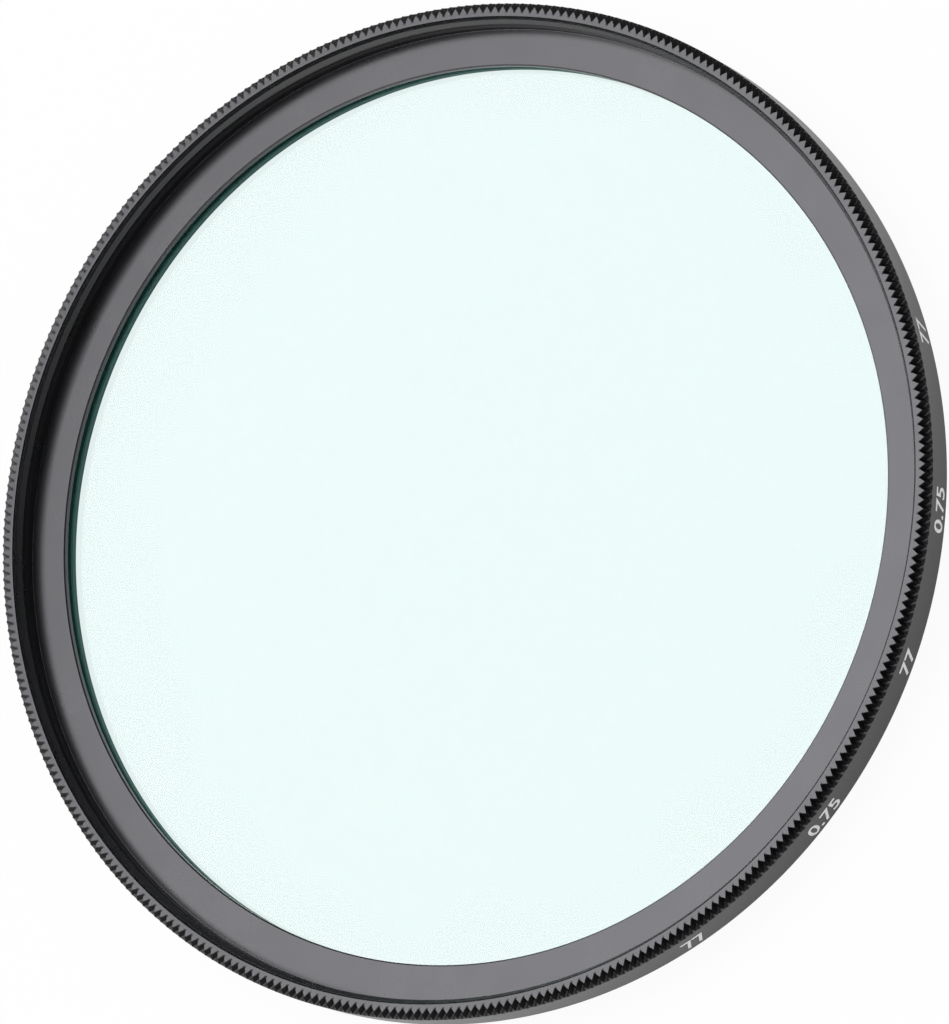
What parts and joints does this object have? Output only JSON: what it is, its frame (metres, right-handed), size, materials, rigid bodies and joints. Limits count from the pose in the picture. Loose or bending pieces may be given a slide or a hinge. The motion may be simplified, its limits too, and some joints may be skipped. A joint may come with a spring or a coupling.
{
  "type": "screw-in lens filter",
  "caption": "Slim round glass filter in a knurled metal ring that screws into the front of a camera lens.",
  "frame": {"origin": "on the optical axis, in the plane of the end of the lens thread", "axes": "+Z along the optical axis, out of the front of the filter, away from the lens; X and Y across it"},
  "size_m": [0.0796, 0.0796, 0.0053],
  "materials": {
    "black_anodised": "satin black anodised",
    "coated_glass": "clear polished, faint green tint",
    "black_anodised_ring": "matte black anodised",
    "marking_paint": "white paint of the size marks on the rim"
  },
  "bodies": {
    "root": {"frame_ring": "black_anodised", "glass_disc": "coated_glass", "retaining_ring": "black_anodised_ring"}
  },
  "joints": []
}
